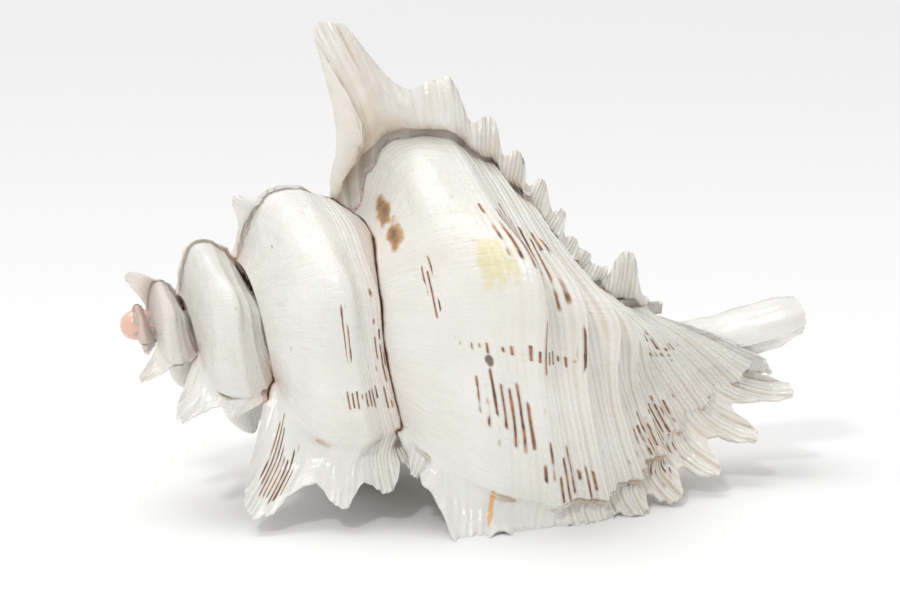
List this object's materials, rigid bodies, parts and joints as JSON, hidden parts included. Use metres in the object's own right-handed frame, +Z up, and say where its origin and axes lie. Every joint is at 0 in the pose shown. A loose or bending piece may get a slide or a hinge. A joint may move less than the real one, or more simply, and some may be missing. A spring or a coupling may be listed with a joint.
{
  "type": "murex shell",
  "caption": "Large spired sea shell with frilled varices, a tall fluted spine, an open mouth underneath and a long upturned canal.",
  "frame": {"origin": "centre of the bounding box in plan, on the floor the shell rests on", "axes": "+X along the shell from the apex to the siphonal canal, -Y the side of the outer lip, +Z up"},
  "size_m": [0.1946, 0.128, 0.1299],
  "materials": {
    "shell": "glossy natural shell"
  },
  "bodies": {
    "root": {"murex_shell": "shell"}
  },
  "joints": []
}
